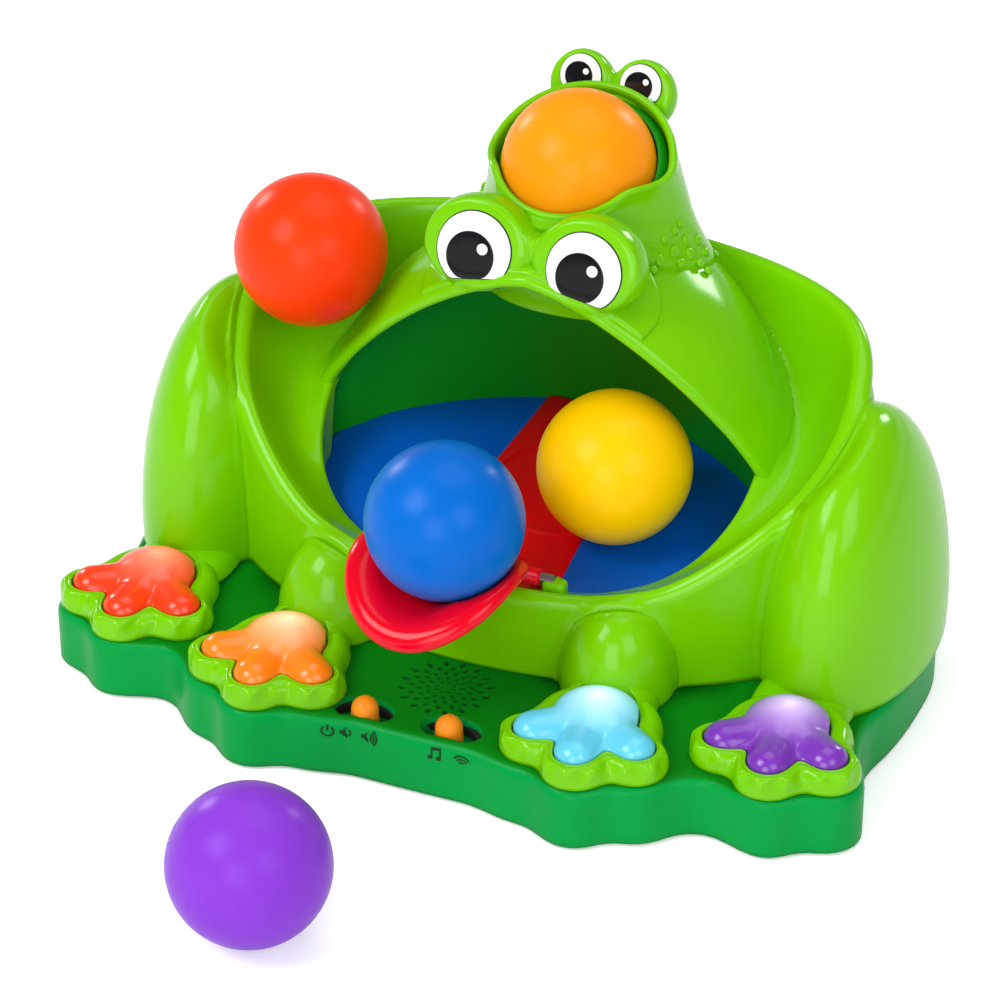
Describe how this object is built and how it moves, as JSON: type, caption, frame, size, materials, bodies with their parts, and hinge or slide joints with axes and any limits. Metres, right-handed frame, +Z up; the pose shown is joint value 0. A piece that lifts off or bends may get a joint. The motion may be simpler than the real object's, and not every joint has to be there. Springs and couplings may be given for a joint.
{
  "type": "ball popper toy",
  "caption": "Frog-shaped air ball popper: balls jump from the small frog's mouth, roll down chutes into the big mouth and land on a press-down tongue.",
  "frame": {"origin": "middle of the underside of the box around the toy and its balls, on the ground", "axes": "+Z up, -Y the way the frog faces, +X to the frog's own left"},
  "size_m": [0.327, 0.3401, 0.2177],
  "materials": {
    "lime_plastic": "glossy moulded plastic",
    "deck_green_plastic": "glossy moulded plastic",
    "dark_green_plastic": "fine matt moulded plastic",
    "liner_green_plastic": "satin moulded plastic",
    "floor_blue_plastic": "satin moulded plastic",
    "red_plastic": "glossy moulded plastic",
    "white_plastic": "glossy",
    "black_plastic": "glossy",
    "inner_black_plastic": "plain moulded",
    "inner_white_plastic": "plain moulded",
    "knob_orange_plastic": "satin",
    "foot_rubber": "soft matt rubber",
    "board": "coated board",
    "cell_can": "sleeved metal can",
    "steel": "plain steel",
    "motor_can": "drawn steel can",
    "button_red": "clear tinted plastic, lit from below",
    "button_orange": "clear tinted plastic, lit from below",
    "button_blue": "clear tinted plastic, lit from below",
    "button_purple": "clear tinted plastic, lit from below",
    "lamp_red": "lit lamp",
    "lamp_orange": "lit lamp",
    "lamp_blue": "lit lamp",
    "lamp_purple": "lit lamp",
    "ball_blue": "satin",
    "ball_yellow": "satin",
    "ball_red": "satin",
    "ball_orange": "satin",
    "ball_purple": "satin"
  },
  "bodies": {
    "toy": {"base_housing": "deck_green_plastic", "bottom_cover": "dark_green_plastic", "battery_door": "dark_green_plastic", "rubber_foot_1": "foot_rubber", "rubber_foot_2": "foot_rubber", "rubber_foot_3": "foot_rubber", "rubber_foot_4": "foot_rubber", "battery_cell_1": "cell_can", "battery_cell_2": "cell_can", "battery_cell_3": "cell_can", "circuit_board": "board", "speaker": "inner_black_plastic", "switch_block": "inner_black_plastic", "body_shell": "lime_plastic", "face_shell": "lime_plastic", "brow_cap": "lime_plastic", "small_frog_head": "lime_plastic", "mouth_liner": "liner_green_plastic", "mouth_floor": "floor_blue_plastic", "floor_band": "red_plastic", "eye_white_left": "white_plastic", "pupil_left": "black_plastic", "eye_white_right": "white_plastic", "pupil_right": "black_plastic", "small_eye_white_left": "white_plastic", "small_pupil_left": "black_plastic", "small_eye_white_right": "white_plastic", "small_pupil_right": "black_plastic", "tongue_pin": "steel", "launch_cup": "liner_green_plastic", "air_duct": "inner_black_plastic", "blower_housing": "inner_black_plastic", "motor": "motor_can", "paw_plate_red": "lime_plastic", "paw_lamp_red": "lamp_red", "button_switch_red": "inner_black_plastic", "paw_plate_orange": "lime_plastic", "paw_lamp_orange": "lamp_orange", "button_switch_orange": "inner_black_plastic", "paw_plate_blue": "lime_plastic", "paw_lamp_blue": "lamp_blue", "button_switch_blue": "inner_black_plastic", "paw_plate_purple": "lime_plastic", "paw_lamp_purple": "lamp_purple", "button_switch_purple": "inner_black_plastic"},
    "power_knob": {"power_knob": "knob_orange_plastic"},
    "sound_knob": {"sound_knob": "knob_orange_plastic"},
    "tongue": {"tongue_lever": "red_plastic"},
    "impeller": {"impeller": "inner_white_plastic"},
    "button_red": {"paw_button_red": "button_red"},
    "button_orange": {"paw_button_orange": "button_orange"},
    "button_blue": {"paw_button_blue": "button_blue"},
    "button_purple": {"paw_button_purple": "button_purple"},
    "loose_ball_blue": {"ball_blue": "ball_blue"},
    "loose_ball_yellow": {"ball_yellow": "ball_yellow"},
    "loose_ball_red": {"ball_red": "ball_red"},
    "loose_ball_orange": {"ball_orange": "ball_orange"},
    "loose_ball_purple": {"ball_purple": "ball_purple"}
  },
  "joints": [
    {"name": "press_red", "type": "slide", "parent": "toy", "child": "button_red", "axis": [0, 0, -1], "range_m": [0, 0.003], "stiffness_N_per_m": 500, "springref_m": -0.002},
    {"name": "press_orange", "type": "slide", "parent": "toy", "child": "button_orange", "axis": [0, 0, -1], "range_m": [0, 0.003], "stiffness_N_per_m": 500, "springref_m": -0.002},
    {"name": "press_blue", "type": "slide", "parent": "toy", "child": "button_blue", "axis": [0, 0, -1], "range_m": [0, 0.003], "stiffness_N_per_m": 500, "springref_m": -0.002},
    {"name": "press_purple", "type": "slide", "parent": "toy", "child": "button_purple", "axis": [0, 0, -1], "range_m": [0, 0.003], "stiffness_N_per_m": 500, "springref_m": -0.002},
    {"name": "power_slide", "type": "slide", "parent": "toy", "child": "power_knob", "axis": [1, 0, 0], "range_m": [-0.0045, 0.0045]},
    {"name": "sound_slide", "type": "slide", "parent": "toy", "child": "sound_knob", "axis": [1, 0, 0], "range_m": [-0.0045, 0.0045]},
    {"name": "tongue_press", "type": "hinge", "parent": "toy", "child": "tongue", "pos_m": [0, 0.024, 0.0644], "axis": [1, 0, 0], "range_deg": [0, 5], "stiffness_Nm_per_rad": 3, "springref_deg": -2.86},
    {"name": "impeller_spin", "type": "hinge", "parent": "toy", "child": "impeller", "pos_m": [0.042, 0.099, 0.024], "axis": [0, 0, 1], "continuous": true},
    {"name": "lift_blue_ball", "type": "slide", "parent": "toy", "child": "loose_ball_blue", "axis": [0, 0, 1], "range_m": [0, 0.08]},
    {"name": "lift_red_ball", "type": "slide", "parent": "toy", "child": "loose_ball_red", "axis": [0, 0, 1], "range_m": [0, 0.08]},
    {"name": "lift_purple_ball", "type": "slide", "parent": "toy", "child": "loose_ball_purple", "axis": [0, 0, 1], "range_m": [0, 0.06]},
    {"name": "lift_orange_ball", "type": "slide", "parent": "toy", "child": "loose_ball_orange", "axis": [0, -0.4202, 0.9074], "range_m": [0, 0.08]},
    {"name": "lift_yellow_ball", "type": "slide", "parent": "toy", "child": "loose_ball_yellow", "axis": [0.2504, -0.7511, 0.6109], "range_m": [0, 0.1]}
  ]
}
